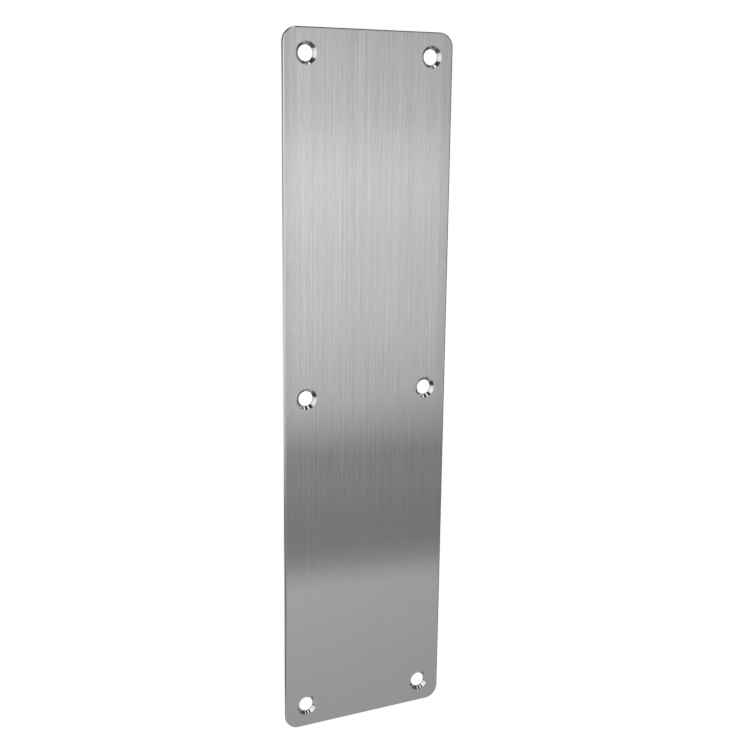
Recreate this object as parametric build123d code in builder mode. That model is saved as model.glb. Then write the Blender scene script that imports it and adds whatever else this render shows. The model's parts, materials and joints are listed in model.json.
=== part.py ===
"""Door finger plate: one flat blank of satin stainless steel, drilled and countersunk for six screws.

The origin is the middle of the back face, which lies against the door. The long side runs along Z,
the width along X, and the brushed front face looks towards -Y. All sizes are in millimetres.
"""
import os

from build123d import *

# The flat blank
plate_height = 300.0
plate_width = 76.0
plate_thickness = 1.5
corner_radius = 6.0

# The front edge is linished soft, so that a hand or a sleeve doesn't catch on it
front_edge_radius = 0.7

# Screw holes for No. 8 countersunk wood screws: a pair at each end and a pair halfway up
side_inset = 10.0
end_inset = 10.0
hole_columns = 2
hole_rows = 3
screw_hole_diameter = 6.4
countersink_diameter = 9.1
countersink_angle = 90.0

column_spacing = (plate_width - 2 * side_inset) / (hole_columns - 1)
row_spacing = (plate_height - 2 * end_inset) / (hole_rows - 1)

door_face = Plane.XZ
front_face = door_face.offset(plate_thickness)

with BuildPart() as plate:
    # Blank, cut with round corners
    with BuildSketch(door_face):
        RectangleRounded(plate_width, plate_height, corner_radius)
    extrude(amount=plate_thickness)

    # Soft edge all round the front; the edge against the door stays square
    front_edges = plate.faces().sort_by(Axis.Y)[0].edges()
    fillet(front_edges, radius=front_edge_radius)

    # Countersunk holes, sunk from the front until only a thin straight land is left at the back
    with Locations(front_face):
        with GridLocations(column_spacing, row_spacing, hole_columns, hole_rows):
            CounterSinkHole(
                radius=screw_hole_diameter / 2,
                counter_sink_radius=countersink_diameter / 2,
                counter_sink_angle=countersink_angle,
            )

plate.part.label = "plate"

os.makedirs("parts", exist_ok=True)
export_step(plate.part, "parts/plate.step")
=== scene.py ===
"""Door finger plate, satin stainless steel, with six countersunk screw holes.

Metres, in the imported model's frame: the back lies on y = 0, the brushed face looks towards -Y and the
long side runs along Z.
"""
import json

import bmesh
import bpy
import numpy as np
from mathutils import Matrix, Vector


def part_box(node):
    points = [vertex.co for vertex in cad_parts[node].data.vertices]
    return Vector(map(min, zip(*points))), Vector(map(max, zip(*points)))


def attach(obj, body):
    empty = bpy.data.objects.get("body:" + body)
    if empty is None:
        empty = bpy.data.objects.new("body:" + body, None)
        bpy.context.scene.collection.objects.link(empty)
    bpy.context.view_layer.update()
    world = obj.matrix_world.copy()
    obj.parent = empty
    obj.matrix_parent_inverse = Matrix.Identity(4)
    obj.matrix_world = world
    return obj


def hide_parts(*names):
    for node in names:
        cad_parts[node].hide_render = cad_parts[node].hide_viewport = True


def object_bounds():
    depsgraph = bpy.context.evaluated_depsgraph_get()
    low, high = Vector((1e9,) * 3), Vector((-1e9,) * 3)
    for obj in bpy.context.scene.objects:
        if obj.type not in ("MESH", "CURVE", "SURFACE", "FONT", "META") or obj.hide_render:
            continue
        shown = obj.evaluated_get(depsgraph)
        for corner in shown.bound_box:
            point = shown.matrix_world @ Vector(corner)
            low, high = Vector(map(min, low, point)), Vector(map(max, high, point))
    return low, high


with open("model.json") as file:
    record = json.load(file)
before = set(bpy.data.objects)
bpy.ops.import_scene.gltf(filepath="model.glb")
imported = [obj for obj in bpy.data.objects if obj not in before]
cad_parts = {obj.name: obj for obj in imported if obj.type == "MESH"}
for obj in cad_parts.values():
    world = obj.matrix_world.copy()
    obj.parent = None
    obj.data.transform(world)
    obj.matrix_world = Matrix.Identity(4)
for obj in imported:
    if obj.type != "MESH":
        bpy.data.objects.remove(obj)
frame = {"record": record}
cad_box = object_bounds()

# The camera has a lens a little longer than a standard one. It stands half a metre off, to the left of
# the plate and somewhat above its middle, and looks slightly down.
sensor_width = 36.0
camera_lens = 56.02
camera_azimuth = np.radians(-26.10)
camera_elevation = np.radians(12.63)
camera_distance = 0.50195
camera_roll = np.radians(0.70)
camera_target = Vector((0.00436, 0.0, 0.00729))

scene = bpy.context.scene
scene.view_settings.view_transform = "Standard"
camera_data = bpy.data.cameras.new("camera")
camera_data.sensor_width = sensor_width
camera_data.lens = camera_lens
camera = bpy.data.objects.new("camera", camera_data)
scene.collection.objects.link(camera)
scene.camera = camera
towards_camera = Vector((
    np.sin(camera_azimuth) * np.cos(camera_elevation),
    -np.cos(camera_azimuth) * np.cos(camera_elevation),
    np.sin(camera_elevation),
))
camera_turn = (-towards_camera).to_track_quat("-Z", "Y").to_matrix() @ Matrix.Rotation(camera_roll, 3, "Z")
camera.matrix_world = Matrix.LocRotScale(
    camera_target + camera_distance * towards_camera, camera_turn.to_quaternion(), None
)

# The studio is a plain white room. Everything that no card hides is white, at a level where a colour
# renders about as it is written.
room_white = (1.0, 1.0, 1.0, 1.0)
room_level = 1.0

world = bpy.data.worlds.new("white_room")
world.use_nodes = True
world.node_tree.nodes["Background"].inputs["Color"].default_value = room_white
world.node_tree.nodes["Background"].inputs["Strength"].default_value = room_level
scene.world = world

# The floor is pale matt board, well below the plate, which hangs in its own upright frame. Away from
# the plate the board runs out into the white of the room.
floor_drop = 0.45
floor_size = 12.0
floor_colour = (0.82, 0.82, 0.81, 1.0)
floor_fade = (0.25, 0.70)

floor_z = cad_box[0].z - floor_drop
floor_corners = np.array([(-1, -1, 0), (1, -1, 0), (1, 1, 0), (-1, 1, 0)]) * floor_size / 2
floor_mesh = bpy.data.meshes.new("floor")
floor_mesh.from_pydata((floor_corners + (0, 0, floor_z)).tolist(), [], [(0, 1, 2, 3)])
floor = bpy.data.objects.new("floor", floor_mesh)
scene.collection.objects.link(floor)


def new_material(name):
    """An empty node material, with its tree and its output node."""
    material = bpy.data.materials.new(name)
    material.use_nodes = True
    tree = material.node_tree
    tree.nodes.clear()
    return material, tree, tree.nodes.new("ShaderNodeOutputMaterial")


def add_node(tree, kind, links=None, **settings):
    """A node of that kind, with its settings; links gives input sockets a value or another socket."""
    node = tree.nodes.new("ShaderNode" + kind)
    for name, value in settings.items():
        setattr(node, name, value)
    for socket, value in (links or {}).items():
        if isinstance(value, bpy.types.NodeSocket):
            tree.links.new(value, node.inputs[socket])
        else:
            node.inputs[socket].default_value = value
    return node


def calculate(tree, operation, *values):
    """The socket with the result of one Math operation on values or sockets."""
    return add_node(tree, "Math", dict(enumerate(values)), operation=operation).outputs[0]


def remap(tree, value, given, wanted=(0.0, 1.0), **settings):
    """The socket of a value carried from the given span to the wanted one, and held at its ends."""
    spans = {"From Min": given[0], "From Max": given[1], "To Min": wanted[0], "To Max": wanted[1]}
    return add_node(tree, "MapRange", {"Value": value, **spans}, **settings).outputs["Result"]


def floor_material():
    """Matt board near the plate; white to camera, mirror and glass further out."""
    material, tree, output = new_material("floor_board")
    place = add_node(tree, "TexCoord").outputs["Object"]
    level = add_node(tree, "VectorMath", {0: place, 1: (1.0, 1.0, 0.0)}, operation="MULTIPLY")
    reach = add_node(tree, "VectorMath", {0: level.outputs[0]}, operation="LENGTH").outputs["Value"]
    path = add_node(tree, "LightPath").outputs
    seen = calculate(tree, "MAXIMUM", path["Is Camera Ray"], path["Is Glossy Ray"])
    seen = calculate(tree, "MAXIMUM", seen, path["Is Transmission Ray"])
    faded = remap(tree, reach, floor_fade, interpolation_type="SMOOTHSTEP")
    board = add_node(tree, "BsdfDiffuse", {"Color": floor_colour}).outputs[0]
    room = add_node(tree, "Emission", {"Color": room_white, "Strength": room_level}).outputs[0]
    white = calculate(tree, "MULTIPLY", seen, faded)
    mixed = add_node(tree, "MixShader", {"Fac": white, 1: board, 2: room})
    tree.links.new(mixed.outputs[0], output.inputs["Surface"])
    return material


floor_mesh.materials.append(floor_material())

# The front screen is a tall sheet of white paper, bent round the plate and hung just out of the picture.
# Metal is lit by what it mirrors, and the upper half of the face mirrors this sheet. Like every card
# here it shows in reflections only, at the tones that are written for it.
drum_columns = 33


def tone_along(tree, distance, stops):
    """A smooth run through the stops, each (distance in metres, tone), as shares of the highest tone."""
    peak = max(tone for place, tone in stops)
    first, last = stops[0][0], stops[-1][0]
    ramp = add_node(tree, "ValToRGB", {"Fac": remap(tree, distance, (first, last))})
    ramp.color_ramp.interpolation = "B_SPLINE"
    elements = ramp.color_ramp.elements
    elements[0].position = 0.0
    elements[1].position = 1.0
    for place, tone in stops[1:-1]:
        elements.new((place - first) / (last - first))
    for element, (place, tone) in zip(elements, stops):
        element.color = (tone / peak, tone / peak, tone / peak, 1.0)
    return ramp.outputs["Color"], peak


def tone_material(name, tones):
    """Even glow, the product of its tones: along the object's own axes, and by the reflection's Reach."""
    material, tree, output = new_material(name)
    place = add_node(tree, "SeparateXYZ", {0: add_node(tree, "TexCoord").outputs["Object"]}).outputs
    reach = add_node(tree, "LightPath").outputs["Ray Length"]
    glow = add_node(tree, "Emission")
    tone, level = None, 1.0
    for axis, stops in tones.items():
        step, peak = tone_along(tree, reach if axis == "Reach" else place[axis], stops)
        level *= peak
        if tone is not None:
            step = add_node(tree, "VectorMath", {0: tone, 1: step}, operation="MULTIPLY").outputs[0]
        tone = step
    tree.links.new(tone, glow.inputs["Color"])
    glow.inputs["Strength"].default_value = level
    tree.links.new(glow.outputs[0], output.inputs["Surface"])
    material.cycles.emission_sampling = "NONE"
    return material


def grid_quads(rows, columns):
    """The corners of each quad of a grid of points that are numbered row by row."""
    corner = np.arange(rows * columns).reshape(rows, columns)
    quads = np.stack((corner[:-1, :-1], corner[1:, :-1], corner[1:, 1:], corner[:-1, 1:]), axis=-1)
    return quads.reshape(-1, 4)


def hang_card(name, points, tones, turn=0.0):
    """A card from a grid of points, seen by mirror rays alone; turn swings its axes about Z under them."""
    own_points = points.reshape(-1, 3) @ np.array(Matrix.Rotation(turn, 3, "Z"))
    mesh = bpy.data.meshes.new(name)
    mesh.from_pydata(own_points.tolist(), [], grid_quads(*points.shape[:2]).tolist())
    mesh.materials.append(tone_material(name, tones))
    card = bpy.data.objects.new(name, mesh)
    card.rotation_euler.z = turn
    scene.collection.objects.link(card)
    card.visible_camera = False
    card.visible_diffuse = False
    card.visible_transmission = False
    card.visible_shadow = False


def drum_points(radius, yaw_from, yaw_to, bottom, top):
    """Part of an upright drum round the plate: (radius sin yaw, -radius cos yaw, height)."""
    yaws = np.radians(np.linspace(yaw_from, yaw_to, drum_columns))
    yaw, height = np.meshgrid(yaws, np.array((bottom, top)))
    return np.stack((radius * np.sin(yaw), -radius * np.cos(yaw), height), axis=-1)


front_screen_points = drum_points(radius=0.80, yaw_from=-30.0, yaw_to=54.0, bottom=-0.60, top=0.80)
hang_card("front_screen", front_screen_points, {
    "Z": [
        (-0.32, 0.585), (-0.22, 0.610), (-0.16, 0.680), (-0.09, 0.817), (-0.03, 0.815), (0.03, 0.920),
        (0.08, 0.885), (0.12, 0.735), (0.20, 0.703), (0.25, 0.540), (0.30, 0.450), (0.42, 0.600),
        (0.55, 0.900), (0.80, 0.900),
    ],
    "X": [
        (-0.40, 0.80), (-0.20, 0.95), (-0.05, 1.20), (0.05, 1.36), (0.15, 1.24), (0.35, 0.99),
        (0.50, 0.88), (0.58, 0.40), (0.65, 0.04),
    ],
})

# The table is a small grey board that lies level below the plate, turned a little against it, with a
# notch on its left. The plate's foot mirrors it.
table_height = -0.170
table_turn = np.radians(8.0)
table_rows = (
    ((-0.300, -0.297), (0.290, -0.213)),
    ((-0.180, -0.120), (0.190, -0.120)),
    ((-0.040, -0.050), (0.110, -0.050)),
    ((-0.100, -0.030), (0.085, -0.030)),
    ((-0.100, 0.020), (0.100, 0.020)),
    ((-0.060, 0.070), (0.150, 0.070)),
)


def flat_points(rows, height):
    """A level board at that height, from rows of a left and a right point (x, y)."""
    return np.array([[(*left, height), (*right, height)] for left, right in rows])


hang_card("table", flat_points(table_rows, table_height), turn=table_turn, tones={
    "Y": [
        (-0.254, 0.300), (-0.235, 0.330), (-0.221, 0.400), (-0.207, 0.500), (-0.194, 0.570),
        (-0.180, 0.570), (-0.164, 0.560), (-0.143, 0.542), (-0.106, 0.518), (-0.053, 0.472),
        (0.000, 0.460), (0.074, 0.400),
    ],
    "X": [(-0.06, 1.02), (0.00, 1.03), (0.06, 0.98), (0.12, 0.93)],
    "Reach": [(0.0, 1.00), (0.28, 1.00), (0.30, 1.00), (0.335, 0.28), (0.40, 0.25)],
})

# The cloth is dark, lies under the table and reaches out to its front, its back and its sides, turned
# like it. The face mirrors its front as the dark band below the middle holes, and the left edge mirrors
# the paler stripe behind the plate.
cloth_height = -0.171
cloth_rows = (((-0.60, -0.59), (0.80, -0.59)), ((-0.60, 0.35), (0.80, 0.35)))
hang_card("cloth", flat_points(cloth_rows, cloth_height), turn=table_turn, tones={
    "Y": [
        (-0.655, 0.646), (-0.592, 0.639), (-0.550, 0.560), (-0.518, 0.485), (-0.490, 0.392),
        (-0.465, 0.352), (-0.433, 0.350), (-0.391, 0.362), (-0.338, 0.310), (-0.285, 0.297),
        (-0.232, 0.296), (-0.180, 0.136), (0.105, 0.110), (0.145, 0.380), (0.190, 0.600),
        (0.235, 0.580), (0.275, 0.110), (0.370, 0.120),
    ],
    "X": [(-0.35, 1.00), (0.03, 1.00), (0.12, 0.95), (0.25, 0.83), (0.55, 0.50)],
})

# The rim card is a small grey board that lies at the table's left corner, a hair above it. The plate's
# foot mirrors it as a soft light rim. In the middle countersinks, further off, it looks dark.
rim_height = -0.1695
rim_rows = (((-0.26, -0.145), (-0.042, -0.145)), ((-0.26, 0.0), (-0.042, 0.0)))
hang_card("rim_card", flat_points(rim_rows, rim_height), {
    "Y": [(-0.145, 0.55), (0.0, 0.55)],
    "Reach": [(0.0, 1.00), (0.155, 1.00), (0.185, 0.09), (0.30, 0.09), (0.34, 0.22), (0.45, 0.22)],
})

# The ceiling is a dark board, hung level above the picture and lighter towards the back. The top edge
# and the countersinks mirror it.
ceiling_height = 0.76
ceiling_rows = (((-1.2, -1.2), (1.2, -1.2)), ((-1.2, 1.2), (1.2, 1.2)))
hang_card("ceiling", flat_points(ceiling_rows, ceiling_height), {
    "X": [(-1.2, 0.14), (-0.50, 0.06), (0.50, 0.06), (0.80, 0.10), (1.2, 0.20)],
    "Y": [(-1.2, 1.0), (0.10, 1.0), (0.18, 1.0), (0.36, 5.0), (0.60, 5.0), (1.2, 5.0)],
})

# Two light strips hang just under the ceiling and run towards the door. They put the light stripes in
# the countersinks.
strip_height = 0.75
strip_front = -0.90
strip_tone = 1.50
for left, right, back in ((-0.04, 0.12, 0.03), (0.48, 0.66, -0.09)):
    strip_rows = (((left, strip_front), (right, strip_front)), ((left, back), (right, back)))
    strip_tones = {"Y": [(strip_front, strip_tone), (back, strip_tone)]}
    hang_card("ceiling_strip", flat_points(strip_rows, strip_height), strip_tones)

# The right flag is a sheet of dark card, bent round the plate's right side and its back. The plate's
# right edge mirrors it, as the thin dark line that ends the face.
right_flag_points = drum_points(radius=0.75, yaw_from=54.0, yaw_to=165.0, bottom=-0.17, top=0.75)
hang_card("right_flag", right_flag_points, {
    "Z": [(-0.17, 0.15), (0.0, 0.18), (0.20, 0.30), (0.45, 0.22), (0.75, 0.20)],
    "Y": [(-0.48, 0.30), (-0.05, 0.50), (0.15, 1.00), (0.72, 1.00)],
})

# The left flag is a sheet of dark card too, bent round the plate's left side and its back, with paler
# paper low down. The plate's left edge mirrors it, as a thin line that is dark only in part.
left_flag_points = drum_points(radius=0.70, yaw_from=-178.0, yaw_to=-87.0, bottom=-0.60, top=0.75)
hang_card("left_flag", left_flag_points, {
    "Z": [
        (-0.60, 0.22), (-0.28, 0.22), (-0.24, 1.00), (-0.15, 1.00), (-0.04, 0.85), (0.01, 0.47),
        (0.07, 0.47), (0.13, 0.58), (0.17, 0.10), (0.20, 0.05), (0.75, 0.22),
    ],
})

# The key light is a tall soft box of white cloth, close by on the plate's left and brightest above its
# middle. It makes the light line down the left edge and the bright patches in the countersinks.
softbox_points = drum_points(radius=0.42, yaw_from=-84.0, yaw_to=-28.0, bottom=-0.20, top=0.50)
hang_card("softbox", softbox_points, {
    "Z": [
        (-0.20, 0.40), (-0.16, 0.60), (-0.12, 0.95), (-0.06, 1.20), (0.00, 1.22), (0.06, 1.28),
        (0.12, 1.48), (0.20, 1.44), (0.36, 1.26), (0.43, 1.15), (0.47, 0.50), (0.50, 0.30),
    ],
    "X": [(-0.42, 0.90), (-0.38, 0.90), (-0.34, 0.93), (-0.29, 1.00), (-0.19, 1.00)],
})

# The finger plate is one blank of satin stainless steel sheet, cut with round corners and linished soft
# along its front edge. Its face is brushed along its height, and the six holes through which it is
# screwed to a door are countersunk from the front.
corner_radius = 0.006
edge_radius = 0.0007
countersink_radius = 0.00455
cone_slope = np.sqrt(2)
mm_per_metre = 1000

plate_low, plate_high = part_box("plate")
half_width = plate_high.x
half_height = plate_high.z
front_y = plate_low.y
hole_mount = next(mount for mount in frame["record"]["mounts"] if mount["name"] == "corner_screw_holes")
hole_radius = hole_mount["dims"]["hole_r_mm"] / mm_per_metre
hole_x = hole_mount["dims"]["spacing_x_mm"] / 2 / mm_per_metre
hole_z = hole_mount["dims"]["spacing_y_mm"] / 2 / mm_per_metre
seam_z = hole_z / 2
flat_x = half_width - edge_radius
flat_z = half_height - edge_radius
flat_radius = corner_radius - edge_radius

ray_step = np.radians(2.0)
ray_digits = 12
round_steps = 8
cone_steps = 4
support_width = 0.0001
tolerance = 1e-9
merge_distance = 1e-7
sharp_angle = np.radians(30.0)


def ray_angles(first, last):
    """Even directions round a hole, with those that point at the corners of its cell added."""
    corners = np.array([
        np.arctan2(seam_z, flat_x - hole_x),
        np.arctan2(seam_z, -hole_x),
        np.arctan2(flat_z - hole_z, -hole_x),
    ])
    even = np.arange(-np.pi, np.pi + ray_step / 2, ray_step)
    angles = np.unique(np.concatenate((even, corners, -corners)).round(ray_digits))
    return angles[(angles >= first - tolerance) & (angles <= last + tolerance)]


def cell_border(centre, rays, z_from, z_to):
    """Where each ray from the hole's centre leaves its cell, and the plate's outward direction there.

    A ray ends at the nearest of the cell's four sides. Where that point lies in the corner's square, it
    ends on the corner's circle instead: at the far root of |centre + reach ray - circle centre| = radius.
    """
    with np.errstate(divide="ignore"):
        to_x = np.where(rays[:, 0] > 0, flat_x - centre[0], -centre[0]) / rays[:, 0]
        to_z = np.where(rays[:, 1] > 0, z_to - centre[1], z_from - centre[1]) / rays[:, 1]
    reach = np.minimum(np.abs(to_x), np.abs(to_z))
    border = centre + reach[:, None] * rays
    circle = np.array((half_width, half_height)) - corner_radius
    in_corner = (border > circle + tolerance).all(axis=1)
    offset = centre - circle
    middle = -(rays @ offset)
    root = np.sqrt(np.maximum(middle**2 - offset @ offset + flat_radius**2, 0.0))
    reach = np.where(in_corner, middle + root, reach)
    border = centre + reach[:, None] * rays
    outward = np.zeros_like(rays)
    outward[np.abs(border[:, 1] - flat_z) < tolerance] = (0.0, 1.0)
    outward[np.abs(border[:, 0] - flat_x) < tolerance] = (1.0, 0.0)
    outward[in_corner] = (border[in_corner] - circle) / flat_radius
    return border, outward


def place_points(across, depth):
    """Points of the plate from (x, z) pairs and a depth along Y."""
    depth = np.broadcast_to(depth, across.shape[:-1])
    return np.stack((across[..., 0], depth, across[..., 1]), axis=-1)


FRONT, EDGE, CONE, BACK = range(4)


def cell_surfaces(centre, angles, z_from, z_to):
    """The surfaces of one hole's cell: (points, uv, finish) with rays down the rows.

    Face: hole's rim + share (border - rim). Edge: border + r sin t outward, depth r (1 - cos t), then
    straight back. Cone: radius falls as depth grows, one to one, down to the hole's own radius.
    """
    rays = np.stack((np.cos(angles), np.sin(angles)), axis=-1)
    border, outward = cell_border(centre, rays, z_from, z_to)
    rim = centre + countersink_radius * rays
    face = np.stack((rim, rim + support_width * rays, border - support_width * rays, border), axis=1)
    face_points = place_points(face, front_y)
    face_uv = face_points[..., (0, 2)]

    outline = border + edge_radius * outward
    bore = centre + hole_radius * rays
    back_points = place_points(np.stack((outline, bore), axis=1), 0.0)
    back_uv = back_points[..., (0, 2)]

    outer = outward.any(axis=1)
    turn = np.linspace(0.0, np.pi / 2, round_steps + 1)
    round_out = border[outer][:, None] + edge_radius * np.sin(turn)[:, None] * outward[outer][:, None]
    round_points = place_points(round_out, front_y + edge_radius * (1 - np.cos(turn)))
    wall = np.repeat(outline[outer][:, None], 2, axis=1)
    wall_points = place_points(wall, np.array((front_y + edge_radius + support_width, 0.0)))
    edge_points = np.concatenate((round_points, wall_points), axis=1)
    run = np.linalg.norm(np.diff(outline[outer], axis=0), axis=1)
    along = np.broadcast_to(np.concatenate(((0.0,), np.cumsum(run)))[:, None], edge_points.shape[:2])
    wall_width = edge_radius * np.pi / 2 + np.array((support_width, -front_y))
    width = np.concatenate((edge_radius * turn, wall_width))
    edge_uv = np.stack((np.broadcast_to(width, edge_points.shape[:2]), along), axis=-1)

    radius = np.linspace(countersink_radius, hole_radius, cone_steps + 1)
    cone = place_points(centre + radius[:, None] * rays[:, None], front_y + countersink_radius - radius)
    cone_points = np.concatenate((cone, place_points(bore[:, None], 0.0)), axis=1)
    slope = np.concatenate((cone_slope * (countersink_radius - radius), (-front_y * cone_slope,)))
    around = np.broadcast_to(countersink_radius * angles[:, None], cone_points.shape[:2])
    cone_uv = np.stack((np.broadcast_to(slope, cone_points.shape[:2]), around), axis=-1)
    return [
        (face_points, face_uv, FRONT),
        (edge_points, edge_uv, EDGE),
        (cone_points, cone_uv, CONE),
        (back_points, back_uv, BACK),
    ]


def plate_mesh():
    """One quarter of the plate, mirrored across x = 0 and z = 0, with its doubles merged."""
    top_cell = cell_surfaces(np.array((hole_x, hole_z)), ray_angles(-np.pi, np.pi), seam_z, flat_z)
    half_cell = cell_surfaces(np.array((hole_x, 0.0)), ray_angles(0.0, np.pi), -seam_z, seam_z)
    points, uvs, quads, finishes = [], [], [], []
    first = 0
    for mirror in ((1, 1, 1), (-1, 1, 1), (1, 1, -1), (-1, 1, -1)):
        for surface, uv, finish in top_cell + half_cell:
            flat_finish = finish in (FRONT, BACK)
            points.append((surface * mirror).reshape(-1, 3))
            uvs.append((uv * (mirror[0], mirror[2]) if flat_finish else uv).reshape(-1, 2))
            quads.append(first + grid_quads(*surface.shape[:2]))
            finishes.append(np.full(len(quads[-1]), finish))
            first += len(points[-1])
    points, uvs, quads = np.concatenate(points), np.concatenate(uvs), np.concatenate(quads)

    mesh = bpy.data.meshes.new("finger_plate")
    mesh.from_pydata(points.tolist(), [], quads.tolist())
    grain = mesh.uv_layers.new(name="grain")
    grain.data.foreach_set("uv", uvs[quads.ravel()].ravel().astype(np.float32))
    mesh.polygons.foreach_set("material_index", np.concatenate(finishes).astype(np.int32))
    merged = bmesh.new()
    merged.from_mesh(mesh)
    bmesh.ops.remove_doubles(merged, verts=merged.verts, dist=merge_distance)
    bmesh.ops.recalc_face_normals(merged, faces=merged.faces)
    merged.to_mesh(mesh)
    merged.free()
    mesh.shade_smooth()
    mesh.set_sharp_from_angle(angle=sharp_angle)
    return mesh


stroke_layers = (
    {"width": 1.0, "length": 1.0, "shift": 0.0, "strength": 0.56},
    {"width": 0.83, "length": 0.20, "shift": 17.3, "strength": 0.38},
    {"width": 0.71, "length": 0.04, "shift": 41.9, "strength": 0.38},
)
hairline = {"width": 0.80, "length": 0.60, "shift": 73.1, "strength": 0.34}
hairline_rise = (0.62, 0.74)
noise_detail = 2.0
noise_roughness = 0.75


def drawn_noise(tree, place, layer):
    """Noise at (place / the layer's width and length) + its shift, which draws it out along the strokes."""
    share = (1 / layer["width"], 1 / layer["length"], 1.0)
    shift = (layer["shift"], layer["shift"], 0.0)
    scaled = add_node(tree, "VectorMath", {0: place, 1: share, 2: shift}, operation="MULTIPLY_ADD")
    look = {"Vector": scaled.outputs[0], "Scale": 1.0, "Detail": noise_detail, "Roughness": noise_roughness}
    return add_node(tree, "TexNoise", look, noise_dimensions="2D").outputs["Fac"]


def brushing_group():
    """Strokes of a brushing belt: long wide ones, shorter finer ones and nicks, all drawn out noise.

    Across and Along are distances on the metal, and Width and Length the size of the widest stroke.
    Strokes is 0.5 + the sum of strength (noise - 0.5) over the layers. Where one more noise stands high,
    a bright hairline is added.
    """
    group = bpy.data.node_groups.new("brushing", "ShaderNodeTree")
    for name in ("Across", "Along", "Width", "Length"):
        group.interface.new_socket(name, in_out="INPUT", socket_type="NodeSocketFloat")
    group.interface.new_socket("Strokes", in_out="OUTPUT", socket_type="NodeSocketFloat")
    given = group.nodes.new("NodeGroupInput").outputs
    result = group.nodes.new("NodeGroupOutput").inputs
    across = calculate(group, "DIVIDE", given["Across"], given["Width"])
    along = calculate(group, "DIVIDE", given["Along"], given["Length"])
    place = add_node(group, "CombineXYZ", {"X": across, "Y": along}).outputs[0]
    strokes = 0.5 - sum(layer["strength"] for layer in stroke_layers) / 2
    for layer in stroke_layers:
        noise = drawn_noise(group, place, layer)
        strokes = calculate(group, "MULTIPLY_ADD", noise, layer["strength"], strokes)
    high = remap(group, drawn_noise(group, place, hairline), hairline_rise, (0.0, hairline["strength"]))
    strokes = calculate(group, "ADD", strokes, high)
    group.links.new(strokes, result["Strokes"])
    return group


brushing = brushing_group()
stroke_span = (0.35, 0.65)
faint_share = 0.10
# Painted shade: the countersink's colour darkens over these slopes, towards the foot of its cone.
foot_shade_span = (0.0016, 0.0019)
# Painted shade: the face's colour darkens along its two long rims, over this span in from the sides, and
# from the lower of these heights upwards.
rim_shade_span = (half_width - 0.0055, half_width - 0.0025)
rim_shade_heights = (-0.025, 0.020)


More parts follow.
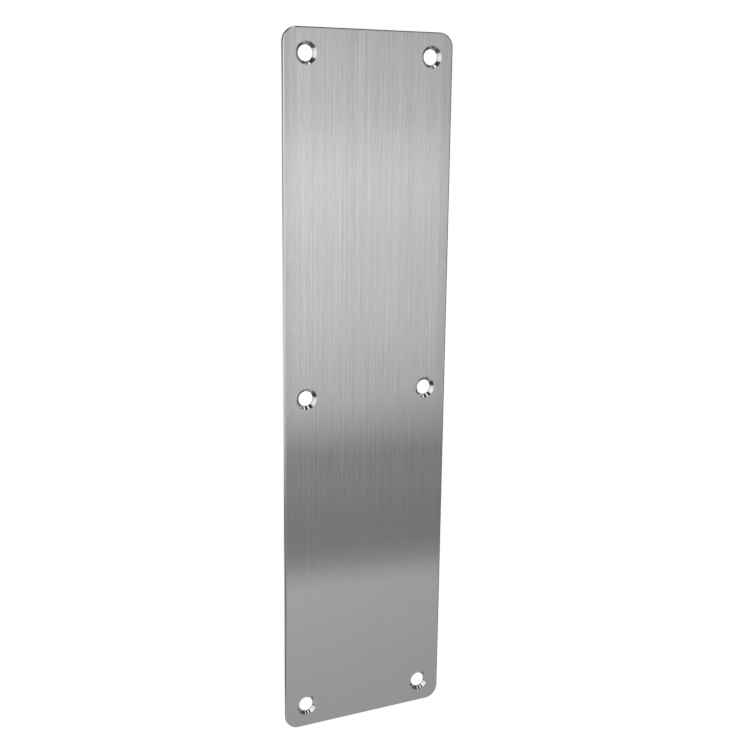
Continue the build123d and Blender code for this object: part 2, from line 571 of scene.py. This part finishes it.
def steel_material(
    name, colour, roughness, anisotropy, by_place, stroke_width, stroke_length,
    stroke_lean, colour_swing, roughness_swing, faint_heights=None, foot_shade_tone=1.0, rim_shade_tone=1.0,
):
    """Stainless steel with strokes in its relief, its roughness and a little in its colour.

    Each stroke's floor leans to one side: the normal is (2 lean (strokes - 0.5), 0, 1) in the UV's frame.
    by_place runs the strokes along Z of the object; otherwise they run along the second axis of the UV.
    Between the faint_heights they grow faint downwards. foot_shade_tone darkens the colour at the foot of
    a cone as painted shade, and rim_shade_tone darkens it along the two long rims as painted shade, from
    the lower of the rim_shade_heights upwards.
    """
    material, tree, output = new_material(name)
    grain_uv = add_node(tree, "SeparateXYZ", {0: add_node(tree, "UVMap", uv_map="grain").outputs[0]}).outputs
    across, along = grain_uv["X"], grain_uv["Y"]
    if by_place:
        place = add_node(tree, "SeparateXYZ", {0: add_node(tree, "TexCoord").outputs["Object"]}).outputs
        across, along = place["X"], place["Z"]
    grain = tree.nodes.new("ShaderNodeGroup")
    grain.node_tree = brushing
    tree.links.new(across, grain.inputs["Across"])
    tree.links.new(along, grain.inputs["Along"])
    grain.inputs["Width"].default_value = stroke_width
    grain.inputs["Length"].default_value = stroke_length
    strokes = grain.outputs["Strokes"]
    if faint_heights:
        share = remap(tree, along, faint_heights, (faint_share, 1.0))
        strokes = add_node(tree, "Mix", {"Factor": share, "A": 0.5, "B": strokes}).outputs[0]

    tone = remap(tree, strokes, stroke_span, (1 - colour_swing, 1 + colour_swing), clamp=False)
    # Painted shade: the colour darkens towards the foot of a cone, down in the hole.
    if foot_shade_tone != 1.0:
        foot_shade = remap(tree, grain_uv["X"], foot_shade_span, (1.0, foot_shade_tone))
        tone = calculate(tree, "MULTIPLY", tone, foot_shade)
    # Painted shade: the colour darkens along the two long rims, upwards from the given heights.
    if rim_shade_tone != 1.0:
        away = calculate(tree, "ABSOLUTE", across)
        rim = remap(tree, away, rim_shade_span, (1.0, rim_shade_tone), interpolation_type="SMOOTHSTEP")
        share = remap(tree, along, rim_shade_heights)
        rim = add_node(tree, "Mix", {"Factor": share, "A": 1.0, "B": rim}).outputs[0]
        tone = calculate(tree, "MULTIPLY", tone, rim)
    tint = add_node(tree, "VectorMath", {0: colour, "Scale": tone}, operation="SCALE")
    rough = remap(tree, strokes, stroke_span, (roughness - roughness_swing, roughness + roughness_swing))
    lean = remap(tree, strokes, (0.0, 1.0), (0.5 - stroke_lean, 0.5 + stroke_lean))
    facing = add_node(tree, "CombineXYZ", {"X": lean, "Y": 0.5, "Z": 1.0})
    relief = add_node(tree, "NormalMap", {"Color": facing.outputs[0], "Strength": 1.0}, uv_map="grain")
    tangent = add_node(tree, "Tangent", direction_type="UV_MAP", uv_map="grain")
    steel = add_node(tree, "BsdfPrincipled", {
        "Base Color": tint.outputs[0],
        "Metallic": 1.0,
        "Roughness": rough,
        "Anisotropic": anisotropy,
        "Normal": relief.outputs[0],
        "Tangent": tangent.outputs[0],
    })
    tree.links.new(steel.outputs[0], output.inputs["Surface"])
    return material


finger_plate = bpy.data.objects.new("finger_plate", plate_mesh())
scene.collection.objects.link(finger_plate)
finger_plate.data.materials.append(steel_material(
    "satin_face_painted_rim_shade", colour=(0.620, 0.626, 0.608), roughness=0.145, anisotropy=1.0, by_place=True,
    stroke_width=0.0009, stroke_length=0.20, stroke_lean=0.015, colour_swing=0.105, roughness_swing=0.02,
    # painted shade along the upper long rims of the face
    faint_heights=(-0.086, -0.022), rim_shade_tone=0.905,
))
finger_plate.data.materials.append(steel_material(
    "linished_edge", colour=(0.600, 0.600, 0.595), roughness=0.24, anisotropy=0.3, by_place=False,
    stroke_width=0.0003, stroke_length=0.02, stroke_lean=0.0, colour_swing=0.02, roughness_swing=0.02,
))
finger_plate.data.materials.append(steel_material(
    "turned_countersink_painted_foot_shade", colour=(0.620, 0.620, 0.612), roughness=0.09, anisotropy=0.7, by_place=False,
    stroke_width=0.0003, stroke_length=0.01, stroke_lean=0.0, colour_swing=0.03, roughness_swing=0.02,
    # painted shade at the foot of each countersink
    foot_shade_tone=0.25,
))
finger_plate.data.materials.append(steel_material(
    "mill_back", colour=(0.540, 0.540, 0.535), roughness=0.36, anisotropy=0.2, by_place=True,
    stroke_width=0.003, stroke_length=0.03, stroke_lean=0.02, colour_swing=0.05, roughness_swing=0.04,
))
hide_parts("plate")
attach(finger_plate, "root")
